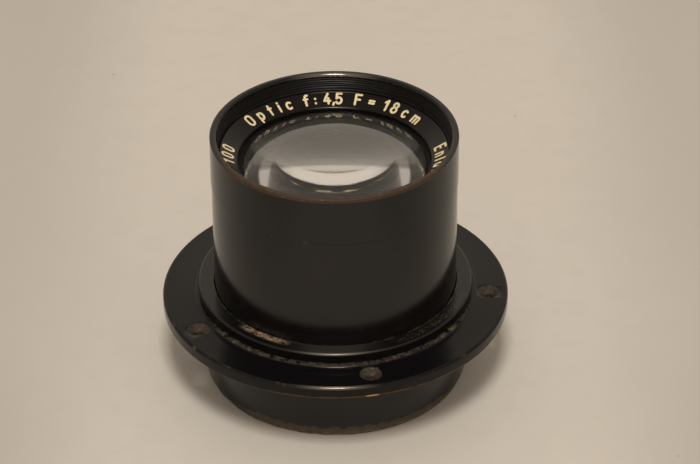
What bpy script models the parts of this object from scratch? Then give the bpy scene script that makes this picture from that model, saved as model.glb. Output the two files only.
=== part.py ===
"""Barrel lens for a darkroom enlarger: 180 mm focal length, f/4.5, in a drilled lens flange.

The optical axis is +Z and the origin is the centre of the rear tube's end face, so the lens
stands on its rear tube with the front glass up. Lengths are in millimetres, and become metres
as the meshes are made. Outlines of turned pieces are (radius, height) pairs.
"""
import math

import bmesh
import bpy
from mathutils import Matrix, Vector

MM = 0.001
GAP = 0.3                      # running and assembly clearance between neighbours
MERGE_DISTANCE = 1e-7          # metres
OUTER_STEPS = 48               # facets round the barrel pieces
GLASS_STEPS = 36               # facets round the glass and its retaining rings

# Mount: the rear tube carries a shoulder and passes through a separate flange
REAR_TUBE_RADIUS = 30.85
FOOT_CHAMFER_WIDTH = 0.8       # the tube's end is bevelled, so that it starts easily in the flange
FOOT_CHAMFER_HEIGHT = 1.8
SHOULDER_RADIUS = 32.05
SHOULDER_BOTTOM = 22.0
SHOULDER_TOP = 24.3
FLANGE_RADIUS = 40.6
FLANGE_BOTTOM = 18.1
FLANGE_TOP = 21.1
FLANGE_BOSS_RADIUS = 32.85
SCREW_CIRCLE_RADIUS = 36.06
SCREW_HOLE_ANGLES = (-151.4, -77.1, -3.6, 67.2, 137.9)
SCREW_HOLE_RADIUS = 1.3
COUNTERSINK_RADIUS = 2.55
COUNTERSINK_DEPTH = 1.25

# Barrel and the turning aperture sleeve
BARREL_RADIUS = 28.35
BARREL_BOTTOM = 16.0
BARREL_TOP = 51.35
BARREL_BORE = 26.85
BARREL_STEP = 41.6             # the bore narrows here, above the cam ring
NECK_RADIUS = 26.3
NECK_BORE = 25.5
NECK_TOP = 55.0
SLEEVE_RADIUS = 28.5
SLEEVE_BOTTOM = BARREL_TOP + GAP
SLEEVE_TOP = 63.4
SLEEVE_BORE = NECK_RADIUS + GAP
HOOD_RADIUS = 26.87            # the sleeve's bore at its rim
HOOD_BOTTOM = 56.0
RIM_ROUND = 0.5

# Ring with the engraved words, screwed in over the front glass
NAME_RING_INNER = 22.25
NAME_RING_OUTER = SLEEVE_BORE - 0.35
NAME_RING_BOTTOM = 56.3
NAME_RING_INNER_TOP = 56.95
NAME_RING_OUTER_TOP = 59.1

# Drive from the sleeve to the cam ring
DRIVE_HEIGHT = 53.25
DRIVE_SCREW_RADIUS = 0.8
DRIVE_SCREW_BORE = 1.1
DRIVE_SLOT_HALF_HEIGHT = 1.1
DRIVE_ARM_INNER = 24.4
DRIVE_ARM_OUTER = 25.1
DRIVE_ARM_WIDTH = 4.0
DRIVE_ANGLE = 90.0             # the drive screw's place with the iris fully open
SLEEVE_TURN = 48.0             # degrees from fully open to fully closed

# Iris
BLADE_COUNT = 12
BLADE_TURN = 33.0              # degrees about the blade's own pivot, open to closed
BLADE_INNER = 17.3
BLADE_OUTER = 23.7
BLADE_START = -3.0             # degrees round the lens from the blade's pivot
BLADE_END = 95.0
BLADE_THICKNESS = 0.12
BLADE_PITCH = 0.22             # height between one blade and the next
FIRST_BLADE_HEIGHT = 37.5
EAR_OUTER = 26.0
EAR_END = 16.5
PIVOT_CIRCLE = 25.0
PIVOT_PIN_RADIUS = 0.6
PIVOT_PIN_BOTTOM = 36.6
DRIVE_PIN_RADIUS = 0.45
DRIVE_PIN_CIRCLE = 24.8
DRIVE_PIN_ANGLE = 14.0
DRIVE_PIN_TOP = 40.95
PIN_STEPS = 8
CAM_RING_INNER = 17.8
CAM_RING_OUTER = 26.2
CAM_RING_BOTTOM = 40.3
CAM_RING_TOP = 41.1
CAM_SLOT_HALF_WIDTH = 0.6
BASE_RING_INNER = 17.0
BASE_RING_BOTTOM = 36.3
BASE_RING_TOP = 37.2
INNER_RING_RADIUS = BARREL_BORE - GAP

# Glass: surface radii are positive where the surface is convex towards the front
FRONT_GLASS_RADIUS = 22.6
FRONT_VERTEX = 61.2
FRONT_SURFACE = 50.0
FRONT_GLASS_BACK = 52.8
MIDDLE_GLASS_RADIUS = 17.9
MIDDLE_FRONT_VERTEX = 48.4
MIDDLE_FRONT_SURFACE = -65.0
MIDDLE_REAR_VERTEX = 45.2
MIDDLE_REAR_SURFACE = 45.0
MIDDLE_REAR_CLEAR = 15.5
REAR_GLASS_RADIUS = 19.5
REAR_FRONT_VERTEX = 33.2
REAR_FRONT_SURFACE = -300.0
CEMENT_VERTEX = 31.0
CEMENT_SURFACE = 34.0
REAR_VERTEX = 20.0
REAR_SURFACE = -55.0
LENS_RINGS = 7                 # rings of facets from a lens's centre to its edge

# Cells and the threaded rings that close them
FRONT_CELL_OPENING = 22.9      # clearance bore round the front glass
FRONT_CELL_RIM_RADIUS = 26.2
FRONT_CELL_TOP = 55.9
FRONT_CELL_RADIUS = 24.1
FRONT_CELL_STOP = 16.4         # the ledge behind the middle glass
FRONT_CELL_STOP_HEIGHT = 0.5
FRONT_SEAT_RADIUS = 20.7
FRONT_SEAT_BOTTOM = 50.5
MIDDLE_RING = (17.2, 20.4, 51.2, 52.2)         # inner and outer radius, bottom and top
REAR_CELL_LIP = 18.0
REAR_CELL_LIP_BOTTOM = 34.2
REAR_CELL_TOP = 34.7
REAR_CELL_BOTTOM = 19.6
REAR_CELL_RADIUS = 26.5
REAR_CELL_MOUTH = 21.2
REAR_CELL_MOUTH_TOP = 21.0
REAR_RING = (18.2, REAR_GLASS_RADIUS, 21.6, 22.8)
IRIS_RETAINING_RING = (24.0, INNER_RING_RADIUS, 35.0, 36.0)


def material(name, colour, roughness, metallic, transmission=0.0):
    """A plain finish for one kind of piece."""
    made = bpy.data.materials.new(name)
    made.use_nodes = True
    shader = made.node_tree.nodes["Principled BSDF"]
    shader.inputs["Base Color"].default_value = (*colour, 1.0)
    shader.inputs["Roughness"].default_value = roughness
    shader.inputs["Metallic"].default_value = metallic
    shader.inputs["Transmission Weight"].default_value = transmission
    made.diffuse_color = (*colour, 1.0)
    return made


def finish_object(name, bm, finish, sharp_degrees=30.0):
    """Turn a bmesh into a smooth-shaded object with outward faces."""
    bmesh.ops.recalc_face_normals(bm, faces=bm.faces)
    mesh = bpy.data.meshes.new(name)
    bm.to_mesh(mesh)
    bm.free()
    mesh.shade_smooth()
    mesh.set_sharp_from_angle(angle=math.radians(sharp_degrees))
    mesh.materials.append(finish)
    made = bpy.data.objects.new(name, mesh)
    bpy.context.collection.objects.link(made)
    return made


def polar(radius, degrees):
    """A point in the XY plane, in the units of the radius."""
    angle = math.radians(degrees)
    return Vector((radius * math.cos(angle), radius * math.sin(angle)))


def turn_outline(bm, outline, steps, centre=(0.0, 0.0)):
    """Spin an outline about a vertical axis. One that starts on the axis is left open there."""
    corners = [bm.verts.new(((centre[0] + r) * MM, centre[1] * MM, z * MM)) for r, z in outline]
    closed = outline[0][0] > 0.0
    last = len(corners) if closed else len(corners) - 1
    edges = [bm.edges.new((corners[i], corners[(i + 1) % len(corners)])) for i in range(last)]
    axis_point = (centre[0] * MM, centre[1] * MM, 0.0)
    bmesh.ops.spin(bm, geom=corners + edges, cent=axis_point, axis=(0.0, 0.0, 1.0),
                   angle=math.tau, steps=steps, use_merge=True)
    bmesh.ops.remove_doubles(bm, verts=bm.verts, dist=MERGE_DISTANCE)


def turned(name, outline, finish, steps=OUTER_STEPS):
    """A piece made on a lathe."""
    bm = bmesh.new()
    turn_outline(bm, outline, steps)
    return finish_object(name, bm, finish)


def plain_ring(name, inner, outer, bottom, top, finish, steps=GLASS_STEPS):
    """A flat ring with square edges."""
    outline = [(inner, top), (outer, top), (outer, bottom), (inner, bottom)]
    return turned(name, outline, finish, steps)


def surface(vertex, curvature_radius, clear_radius):
    """Points of a lens surface from its vertex on the axis out to the clear radius."""
    points = []
    for ring in range(LENS_RINGS + 1):
        r = clear_radius * ring / LENS_RINGS
        depth = math.copysign(math.sqrt(curvature_radius ** 2 - r * r), curvature_radius)
        points.append((r, vertex - curvature_radius + depth))
    return points


def lens(name, front, rear, finish):
    """A glass element between two surfaces, with a ground cylindrical edge."""
    return turned(name, front + rear[::-1], finish, GLASS_STEPS)


def cut(target, cutter):
    """Cut the cutter out of the target, and leave the cutter as a wire guide."""
    cutter.hide_render = True
    cutter.display_type = 'WIRE'
    modifier = target.modifiers.new("cut", 'BOOLEAN')
    modifier.operation = 'DIFFERENCE'
    modifier.solver = 'EXACT'
    modifier.object = cutter


def circle_points(centre, radius, steps):
    return [centre + polar(radius, 360.0 * i / steps) for i in range(steps)]


def add_loop(bm, points):
    """A closed loop of edges at height 0; returns its vertices and edges."""
    corners = [bm.verts.new((p[0] * MM, p[1] * MM, 0.0)) for p in points]
    edges = [bm.edges.new((a, b)) for a, b in zip(corners, corners[1:] + corners[:1])]
    return corners, edges


def thicken(bm, thickness):
    """Give a flat sheet a thickness upwards."""
    grown = bmesh.ops.extrude_face_region(bm, geom=bm.faces[:])["geom"]
    upper = [item for item in grown if isinstance(item, bmesh.types.BMVert)]
    bmesh.ops.translate(bm, verts=upper, vec=(0.0, 0.0, thickness * MM))


def pull_face(bm, face, distance):
    """Extrude one face along Z, as a pin."""
    pulled = bmesh.ops.extrude_discrete_faces(bm, faces=[face])["faces"][0]
    bmesh.ops.translate(bm, verts=pulled.verts[:], vec=(0.0, 0.0, distance * MM))


# ---------------------------------------------------------------- mount

def make_mount_tube(finish):
    """Rear tube with the shoulder ring that seats on the flange."""
    bore = BARREL_RADIUS + GAP
    edge = 0.3
    outline = [
        (bore, SHOULDER_TOP), (SHOULDER_RADIUS - edge, SHOULDER_TOP),
        (SHOULDER_RADIUS, SHOULDER_TOP - edge), (SHOULDER_RADIUS, SHOULDER_BOTTOM + edge),
        (SHOULDER_RADIUS - edge, SHOULDER_BOTTOM), (REAR_TUBE_RADIUS, SHOULDER_BOTTOM),
        (REAR_TUBE_RADIUS, FOOT_CHAMFER_HEIGHT), (REAR_TUBE_RADIUS - FOOT_CHAMFER_WIDTH, 0.0), (bore, 0.0),
    ]
    return turned("mount_tube", outline, finish)


def make_mounting_flange(finish):
    """Drilled ring that screws to a lens board, with a low boss round its thread."""
    bore = REAR_TUBE_RADIUS + GAP
    boss_top = SHOULDER_BOTTOM - GAP
    edge = 0.35
    outline = [
        (bore, boss_top), (FLANGE_BOSS_RADIUS - 0.2, boss_top),
        (FLANGE_BOSS_RADIUS, boss_top - 0.2), (FLANGE_BOSS_RADIUS + edge, FLANGE_TOP),
        (FLANGE_RADIUS - edge, FLANGE_TOP), (FLANGE_RADIUS, FLANGE_TOP - edge),
        (FLANGE_RADIUS, FLANGE_BOTTOM + edge), (FLANGE_RADIUS - edge, FLANGE_BOTTOM),
        (bore, FLANGE_BOTTOM),
    ]
    flange = turned("mounting_flange", outline, finish)
    above = 0.4
    slope = (COUNTERSINK_RADIUS - SCREW_HOLE_RADIUS) / COUNTERSINK_DEPTH
    hole = [
        (0.0, FLANGE_TOP + above), (COUNTERSINK_RADIUS + above * slope, FLANGE_TOP + above),
        (SCREW_HOLE_RADIUS, FLANGE_TOP - COUNTERSINK_DEPTH),
        (SCREW_HOLE_RADIUS, FLANGE_BOTTOM - above), (0.0, FLANGE_BOTTOM - above),
    ]
    bm = bmesh.new()
    for angle in SCREW_HOLE_ANGLES:
        turn_outline(bm, hole, 14, polar(SCREW_CIRCLE_RADIUS, angle))
    cut(flange, finish_object("flange_hole_cutter", bm, finish))
    return flange


# ---------------------------------------------------------------- barrel

def make_barrel_tube(finish):
    """Fixed barrel: holds the iris from behind and the front cell in its neck."""
    outline = [
        (NECK_BORE, NECK_TOP), (NECK_RADIUS, NECK_TOP), (NECK_RADIUS, BARREL_TOP),
        (BARREL_RADIUS - 0.2, BARREL_TOP), (BARREL_RADIUS, BARREL_TOP - 0.2),
        (BARREL_RADIUS, BARREL_BOTTOM), (BARREL_BORE, BARREL_BOTTOM),
        (BARREL_BORE, BARREL_STEP), (NECK_BORE, BARREL_STEP),
    ]
    barrel = turned("barrel_tube", outline, finish)
    cut(barrel, make_drive_slot_cutter(finish))
    return barrel


def make_drive_slot_cutter(finish):
    """Sector of a ring that cuts the arc slot for the drive screw in the neck."""
    inner = NECK_BORE - 0.6
    outer = NECK_RADIUS + 0.6
    bottom = DRIVE_HEIGHT - DRIVE_SLOT_HALF_HEIGHT
    top = DRIVE_HEIGHT + DRIVE_SLOT_HALF_HEIGHT
    margin = math.degrees((DRIVE_SCREW_RADIUS + GAP) / NECK_BORE)
    bm = bmesh.new()
    corners = [bm.verts.new((r * MM, 0.0, z * MM))
               for r, z in ((inner, top), (outer, top), (outer, bottom), (inner, bottom))]
    end = bm.faces.new(corners)
    slot_start = Matrix.Rotation(math.radians(DRIVE_ANGLE - margin), 3, 'Z')
    bmesh.ops.rotate(bm, verts=corners, matrix=slot_start)
    bmesh.ops.spin(bm, geom=[end], cent=(0.0, 0.0, 0.0), axis=(0.0, 0.0, 1.0),
                   angle=math.radians(SLEEVE_TURN + 2.0 * margin), steps=12)
    return finish_object("drive_slot_cutter", bm, finish)


def make_name_ring(finish):
    """Ring that holds the front glass in, with a conical face."""
    outline = [
        (NAME_RING_INNER, NAME_RING_INNER_TOP), (NAME_RING_OUTER, NAME_RING_OUTER_TOP),
        (NAME_RING_OUTER, NAME_RING_BOTTOM), (NAME_RING_INNER, NAME_RING_BOTTOM),
    ]
    return turned("name_ring", outline, finish)


# ---------------------------------------------------------------- aperture drive

def make_aperture_sleeve(finish):
    """Front sleeve that turns on the barrel's neck; its upper part is the lens hood."""
    knee = RIM_ROUND * (1.0 - math.sqrt(0.5))
    edge = 0.2
    outline = [
        (HOOD_RADIUS + RIM_ROUND, SLEEVE_TOP), (SLEEVE_RADIUS - RIM_ROUND, SLEEVE_TOP),
        (SLEEVE_RADIUS - knee, SLEEVE_TOP - knee), (SLEEVE_RADIUS, SLEEVE_TOP - RIM_ROUND),
        (SLEEVE_RADIUS, SLEEVE_BOTTOM + edge), (SLEEVE_RADIUS - edge, SLEEVE_BOTTOM),
        (SLEEVE_BORE, SLEEVE_BOTTOM), (SLEEVE_BORE, HOOD_BOTTOM),
        (HOOD_RADIUS, SLEEVE_TOP - RIM_ROUND), (HOOD_RADIUS + knee, SLEEVE_TOP - knee),
    ]
    sleeve = turned("aperture_sleeve", outline, finish)
    bore = make_radial_pin("drive_screw_bore_cutter", DRIVE_SCREW_BORE,
                           SLEEVE_BORE - 1.0, SLEEVE_RADIUS + 1.0, finish)
    cut(sleeve, bore)
    return sleeve


def make_radial_pin(name, radius, inner, outer, finish):
    """A round bar along a radius of the lens, at the drive angle and the drive height."""
    bm = bmesh.new()
    bmesh.ops.create_cone(bm, cap_ends=True, segments=12, radius1=radius * MM,
                          radius2=radius * MM, depth=(outer - inner) * MM)
    pin = finish_object(name, bm, finish)
    middle = polar((inner + outer) / 2.0, DRIVE_ANGLE)
    pin.rotation_euler = (0.0, math.pi / 2.0, math.radians(DRIVE_ANGLE))
    pin.location = (middle.x * MM, middle.y * MM, DRIVE_HEIGHT * MM)
    return pin


def make_drive_arm(finish):
    """Flat finger that stands on the cam ring and takes the drive screw's push."""
    bottom = CAM_RING_TOP + GAP
    top = DRIVE_HEIGHT + DRIVE_SLOT_HALF_HEIGHT
    bm = bmesh.new()
    bmesh.ops.create_cube(bm, size=1.0)
    size = (DRIVE_ARM_OUTER - DRIVE_ARM_INNER, DRIVE_ARM_WIDTH, top - bottom)
    bmesh.ops.scale(bm, vec=[length * MM for length in size], verts=bm.verts)
    arm = finish_object("drive_arm", bm, finish)
    middle = polar((DRIVE_ARM_INNER + DRIVE_ARM_OUTER) / 2.0, DRIVE_ANGLE)
    arm.rotation_euler.z = math.radians(DRIVE_ANGLE)
    arm.location = (middle.x * MM, middle.y * MM, (bottom + top) / 2.0 * MM)
    return arm


def turned_about(point, pivot, degrees):
    """The point after a turn about a pivot, in the XY plane."""
    return pivot + Matrix.Rotation(math.radians(degrees), 2) @ (point - pivot)


def cam_slot_outline():
    """Slot that moves a blade's drive pin so that the blade turns in step with the ring."""
    steps = 9
    origin = Vector((0.0, 0.0))
    pivot = polar(PIVOT_CIRCLE, 0.0)
    pin = polar(DRIVE_PIN_CIRCLE, DRIVE_PIN_ANGLE)
    overrun = 0.006
    path = []
    for i in range(steps):
        share = -overrun + (1.0 + 2.0 * overrun) * i / (steps - 1)
        on_blade = turned_about(pin, pivot, share * BLADE_TURN)
        path.append(turned_about(on_blade, origin, -share * SLEEVE_TURN))
    tangents = [(path[min(i + 1, steps - 1)] - path[max(i - 1, 0)]).normalized()
                for i in range(steps)]
    sides = [Vector((t.y, -t.x)) * CAM_SLOT_HALF_WIDTH for t in tangents]
    right = [p + s for p, s in zip(path, sides)]
    left = [p - s for p, s in zip(path, sides)]
    end_cap = [turned_about(right[-1], path[-1], turn) for turn in (45.0, 90.0, 135.0)]
    start_cap = [turned_about(left[0], path[0], turn) for turn in (45.0, 90.0, 135.0)]
    return right + end_cap + left[::-1] + start_cap


def make_cam_ring(finish):
    """Ring whose spiral slots drive the blades."""
    origin = Vector((0.0, 0.0))
    slot = cam_slot_outline()
    bm = bmesh.new()
    edges = []
    for radius in (CAM_RING_OUTER, CAM_RING_INNER):
        edges += add_loop(bm, circle_points(origin, radius, OUTER_STEPS))[1]
    for blade in range(BLADE_COUNT):
        turn = 360.0 * blade / BLADE_COUNT
        edges += add_loop(bm, [turned_about(p, origin, turn) for p in slot])[1]
    bmesh.ops.triangle_fill(bm, use_beauty=True, use_dissolve=False, edges=edges)
    thicken(bm, CAM_RING_TOP - CAM_RING_BOTTOM)
    ring = finish_object("cam_ring", bm, finish)
    ring.location.z = CAM_RING_BOTTOM * MM
    return ring


# ---------------------------------------------------------------- iris

def make_iris_base_ring(finish):
    """Fixed ring with a hole for each blade's pivot pin."""
    origin = Vector((0.0, 0.0))
    hole_radius = PIVOT_PIN_RADIUS + GAP
    bm = bmesh.new()
    edges = []
    for radius in (INNER_RING_RADIUS, BASE_RING_INNER):
        edges += add_loop(bm, circle_points(origin, radius, OUTER_STEPS))[1]
    for blade in range(BLADE_COUNT):
        centre = polar(PIVOT_CIRCLE, 360.0 * blade / BLADE_COUNT)
        edges += add_loop(bm, circle_points(centre, hole_radius, PIN_STEPS))[1]
    bmesh.ops.triangle_fill(bm, use_beauty=True, use_dissolve=False, edges=edges)
    thicken(bm, BASE_RING_TOP - BASE_RING_BOTTOM)
    ring = finish_object("iris_base_ring", bm, finish)
    ring.location.z = BASE_RING_BOTTOM * MM
    return ring


def blade_outline():
    """A crescent strip with an ear at one end, seen from the front, pivot at angle 0."""
    def arc(radius, start, end, steps):
        return [polar(radius, start + (end - start) * i / steps) for i in range(steps + 1)]

    middle = (BLADE_INNER + BLADE_OUTER) / 2.0
    half = (BLADE_OUTER - BLADE_INNER) / 2.0
    tip_centre = polar(middle, BLADE_END)
    tip = [tip_centre + polar(half, BLADE_END + turn) for turn in (30.0, 60.0, 90.0, 120.0, 150.0)]
    ear = arc(EAR_OUTER, BLADE_START, EAR_END, 3)
    back = arc(BLADE_OUTER, EAR_END + 3.0, BLADE_END, 9)
    front = arc(BLADE_INNER, BLADE_END, BLADE_START, 12)
    return ear + back + tip + front


def make_blade(number, finish):
    """One iris blade. Its origin is on its pivot's axis, at the height of its lower face."""
    pivot = polar(PIVOT_CIRCLE, 0.0)
    drive = polar(DRIVE_PIN_CIRCLE, DRIVE_PIN_ANGLE) - pivot
    height = FIRST_BLADE_HEIGHT + (number - 1) * BLADE_PITCH
    bm = bmesh.new()
    edges = add_loop(bm, [p - pivot for p in blade_outline()])[1]
    at_pivot = Vector((0.0, 0.0))
    pivot_loop, pivot_edges = add_loop(bm, circle_points(at_pivot, PIVOT_PIN_RADIUS, PIN_STEPS))
    drive_loop, drive_edges = add_loop(bm, circle_points(drive, DRIVE_PIN_RADIUS, PIN_STEPS))
    bmesh.ops.triangle_fill(bm, use_beauty=True, use_dissolve=False,
                            edges=edges + pivot_edges + drive_edges)
    pivot_disc = bm.faces.new(pivot_loop)
    bm.faces.new(drive_loop)
    thicken(bm, BLADE_THICKNESS)
    drive_disc = next(face for face in bm.faces if is_disc(face, drive, BLADE_THICKNESS))
    pull_face(bm, pivot_disc, PIVOT_PIN_BOTTOM - height)
    pull_face(bm, drive_disc, DRIVE_PIN_TOP - height - BLADE_THICKNESS)
    blade = finish_object(f"iris_blade_{number:02d}", bm, finish)
    angle = 360.0 * (number - 1) / BLADE_COUNT
    place = polar(PIVOT_CIRCLE, angle)
    blade.location = (place.x * MM, place.y * MM, height * MM)
    blade.rotation_euler.z = math.radians(angle)
    return blade


def is_disc(face, centre, height):
    """Whether a face is the end disc of a pin at this centre and height."""
    middle = face.calc_center_median() / MM
    near = (middle.xy - centre).length < 0.01 and abs(middle.z - height) < 0.001
    return near and len(face.verts) == PIN_STEPS


# ---------------------------------------------------------------- optical cells and glass

def make_front_cell(finish):
    """Cell in the barrel's neck, with a seat for the front glass and one for the middle glass."""
    rim_bottom = NECK_TOP + GAP
    glass_seat = FRONT_GLASS_BACK - GAP
    stop_top = BARREL_STEP + FRONT_CELL_STOP_HEIGHT
    bore = MIDDLE_GLASS_RADIUS + GAP
    outline = [
        (FRONT_CELL_OPENING, FRONT_CELL_TOP), (FRONT_CELL_RIM_RADIUS, FRONT_CELL_TOP),
        (FRONT_CELL_RIM_RADIUS, rim_bottom), (FRONT_CELL_RADIUS, rim_bottom),
        (FRONT_CELL_RADIUS, BARREL_STEP), (FRONT_CELL_STOP, BARREL_STEP),
        (FRONT_CELL_STOP, stop_top), (bore, stop_top), (bore, FRONT_SEAT_BOTTOM),
        (FRONT_SEAT_RADIUS, FRONT_SEAT_BOTTOM), (FRONT_SEAT_RADIUS, glass_seat),
        (FRONT_CELL_OPENING, glass_seat),
    ]
    return turned("front_cell", outline, finish)


def make_front_element(finish):
    """Thick positive glass with a flat rear face."""
    front = surface(FRONT_VERTEX, FRONT_SURFACE, FRONT_GLASS_RADIUS)
    rear = [(0.0, FRONT_GLASS_BACK), (FRONT_GLASS_RADIUS, FRONT_GLASS_BACK)]
    return lens("front_element", front, rear, finish)


def make_middle_element(finish):
    """Thin negative glass, hollow on both sides."""
    front = surface(MIDDLE_FRONT_VERTEX, MIDDLE_FRONT_SURFACE, MIDDLE_GLASS_RADIUS)
    rear = surface(MIDDLE_REAR_VERTEX, MIDDLE_REAR_SURFACE, MIDDLE_REAR_CLEAR)
    rear.append((MIDDLE_GLASS_RADIUS, rear[-1][1]))
    return lens("middle_element", front, rear, finish)


def make_rear_cell(finish):
    """Cell that holds the cemented rear pair behind the iris."""
    bore = REAR_GLASS_RADIUS + GAP
    outline = [
        (REAR_CELL_LIP, REAR_CELL_TOP), (REAR_CELL_RADIUS, REAR_CELL_TOP),
        (REAR_CELL_RADIUS, REAR_CELL_BOTTOM), (REAR_CELL_MOUTH, REAR_CELL_BOTTOM),
        (bore, REAR_CELL_MOUTH_TOP), (bore, REAR_CELL_LIP_BOTTOM), (REAR_CELL_LIP, REAR_CELL_LIP_BOTTOM),
    ]
    return turned("rear_cell", outline, finish)


def make_rear_doublet(finish):
    """The cemented rear pair, parted by a thin clearance in place of the cement."""
    front = surface(REAR_FRONT_VERTEX, REAR_FRONT_SURFACE, REAR_GLASS_RADIUS)
    joint = surface(CEMENT_VERTEX, CEMENT_SURFACE, REAR_GLASS_RADIUS)
    under_joint = surface(CEMENT_VERTEX - GAP, CEMENT_SURFACE, REAR_GLASS_RADIUS)
    rear = surface(REAR_VERTEX, REAR_SURFACE, REAR_GLASS_RADIUS)
    return [lens("rear_doublet_front", front, joint, finish),
            lens("rear_doublet_rear", under_joint, rear, finish)]


def clear_scene():
    for old in list(bpy.data.objects):
        bpy.data.objects.remove(old, do_unlink=True)


def turning_parent(pieces):
    """Empty on the optical axis, for the pieces that turn with the sleeve."""
    axis = bpy.data.objects.new("aperture_axis", None)
    bpy.context.collection.objects.link(axis)
    for piece in pieces:
        piece.parent = axis


def main():
    clear_scene()
    lacquer = material("black_lacquer", (0.012, 0.010, 0.009), 0.3, 0.0)
    matt_black = material("matt_black", (0.015, 0.014, 0.013), 0.6, 0.0)
    blued_steel = material("blued_steel", (0.10, 0.11, 0.13), 0.35, 1.0)
    brass = material("brass", (0.60, 0.42, 0.18), 0.35, 1.0)
    steel = material("steel", (0.45, 0.44, 0.42), 0.35, 1.0)
    glass = material("optical_glass", (0.95, 0.97, 0.96), 0.02, 0.0, transmission=1.0)

    make_mount_tube(lacquer)
    make_mounting_flange(lacquer)
    make_barrel_tube(lacquer)
    make_name_ring(lacquer)

    turning_parent([
        make_aperture_sleeve(lacquer),
        make_radial_pin("drive_screw", DRIVE_SCREW_RADIUS, NECK_BORE, SLEEVE_RADIUS - GAP, steel),
        make_drive_arm(brass),
        make_cam_ring(brass),
    ])
    make_iris_base_ring(matt_black)
    for number in range(1, BLADE_COUNT + 1):
        make_blade(number, blued_steel)
    plain_ring("iris_retaining_ring", *IRIS_RETAINING_RING, matt_black)

    make_front_cell(matt_black)
    make_front_element(glass)
    make_middle_element(glass)
    plain_ring("middle_retaining_ring", *MIDDLE_RING, matt_black)
    make_rear_cell(matt_black)
    make_rear_doublet(glass)
    plain_ring("rear_retaining_ring", *REAR_RING, matt_black)


main()
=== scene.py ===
"""Looks of the enlarger lens: fine turned shells, real glass, painted lettering and worn lacquer.

Every piece is modelled in the frame's own space. Lengths in this script are millimetres and
become metres as meshes are made. Angles are degrees about the optical axis, +Z, from +X.
"""
import math

import bmesh
import bpy
from mathutils import Matrix, Vector, noise


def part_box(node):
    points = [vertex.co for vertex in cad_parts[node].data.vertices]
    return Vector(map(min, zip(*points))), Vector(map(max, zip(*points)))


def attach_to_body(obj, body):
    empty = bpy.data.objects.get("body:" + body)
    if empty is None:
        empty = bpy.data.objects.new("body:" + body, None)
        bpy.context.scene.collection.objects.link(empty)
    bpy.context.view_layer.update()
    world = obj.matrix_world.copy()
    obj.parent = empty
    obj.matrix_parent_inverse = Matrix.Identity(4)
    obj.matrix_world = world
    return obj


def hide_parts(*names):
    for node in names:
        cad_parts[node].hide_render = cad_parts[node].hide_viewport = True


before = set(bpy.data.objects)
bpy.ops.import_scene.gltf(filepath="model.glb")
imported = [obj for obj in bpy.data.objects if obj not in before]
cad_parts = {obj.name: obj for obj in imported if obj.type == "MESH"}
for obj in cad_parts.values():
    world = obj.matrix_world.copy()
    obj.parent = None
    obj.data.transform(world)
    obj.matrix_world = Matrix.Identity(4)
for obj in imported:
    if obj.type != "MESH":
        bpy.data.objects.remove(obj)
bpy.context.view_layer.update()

MM = 0.001
STEPS = 256  # facets round the large turned pieces
SMALL_STEPS = 128  # facets round the inner rings
HOLE_STEPS = 40
SCREW_STEPS = 32
FILLET_STEPS = 4
JOIN_DISTANCE = 1e-7  # metres


def span(node):
    """Outer radius, bottom and top of a round CAD node."""
    low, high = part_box(node)
    return high.x / MM, low.z / MM, high.z / MM


SHOULDER_R, _, SHOULDER_TOP = span("mount_tube")
FLANGE_R, FLANGE_LOW, FLANGE_BOSS_TOP = span("mounting_flange")
BARREL_R, BARREL_LOW, NECK_TOP = span("barrel_tube")
SLEEVE_R, SLEEVE_LOW, SLEEVE_TOP = span("aperture_sleeve")
NAME_R, NAME_LOW, NAME_TOP = span("name_ring")
GLASS_R, GLASS_BACK, GLASS_VERTEX = span("front_element")
CELL_R, CELL_LOW, CELL_TOP = span("front_cell")
MIDDLE_R, _, _ = span("middle_element")
REAR_CELL_R, REAR_CELL_LOW, REAR_CELL_TOP = span("rear_cell")
REAR_R, REAR_VERTEX, _ = span("rear_doublet_rear")

TUBE_R = SHOULDER_R - 1.2  # the rear tube, under its shoulder ring
FOOT_TOP = 1.8  # the tube's end is bevelled below this height
FOOT_BEVEL = 0.8
FLANGE_TOP = FLANGE_LOW + 3.0  # the wide face, which the boss stands above
FLANGE_BOSS_R = 32.85
HOLE_ANGLES = (-151.4, -77.1, -3.6, 67.2, 137.9)
HOLE_CIRCLE = 36.06  # radius at which the screw holes lie
SEAM = SLEEVE_LOW - 0.12  # where the fixed barrel ends and the sleeve begins
NAME_INNER = 22.25
NAME_INNER_TOP = 56.95
BLACKED_R = 20.0  # the front glass is blacked outside this, where it rests on its seat
BLADE_COUNT = 12
BLADE_RATIO = 0.6875  # how far a blade turns for each degree of the sleeve
OPEN_IRIS_R = 17.3
PIVOT_CIRCLE = 25.0  # radius at which the blades' pivots lie
INDEX_TURN = 78.0


# -------------------- meshes

def polar(radius, degrees):
    """Point at an angle on a circle round the axis."""
    angle = math.radians(degrees)
    return Vector((radius * math.cos(angle), radius * math.sin(angle)))


def filleted(corners):
    """Turn (r, z) and (r, z, fillet radius) corners into a closed outline with rounded corners."""
    outline = []
    count = len(corners)
    for i, corner in enumerate(corners):
        here = Vector(corner[:2])
        if len(corner) < 3:
            outline.append(here)
            continue
        to_last = (Vector(corners[i - 1][:2]) - here).normalized()
        to_next = (Vector(corners[(i + 1) % count][:2]) - here).normalized()
        half = to_last.angle(to_next) / 2.0
        reach = corner[2] / math.tan(half)
        start, end = here + to_last * reach, here + to_next * reach
        centre = here + (to_last + to_next).normalized() * corner[2] / math.sin(half)
        first = (start - centre).normalized()
        turn = first.angle_signed(end - centre)
        for step in range(FILLET_STEPS + 1):
            arm = Matrix.Rotation(-turn * step / FILLET_STEPS, 2) @ first
            outline.append(centre + arm * corner[2])
    return outline


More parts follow.
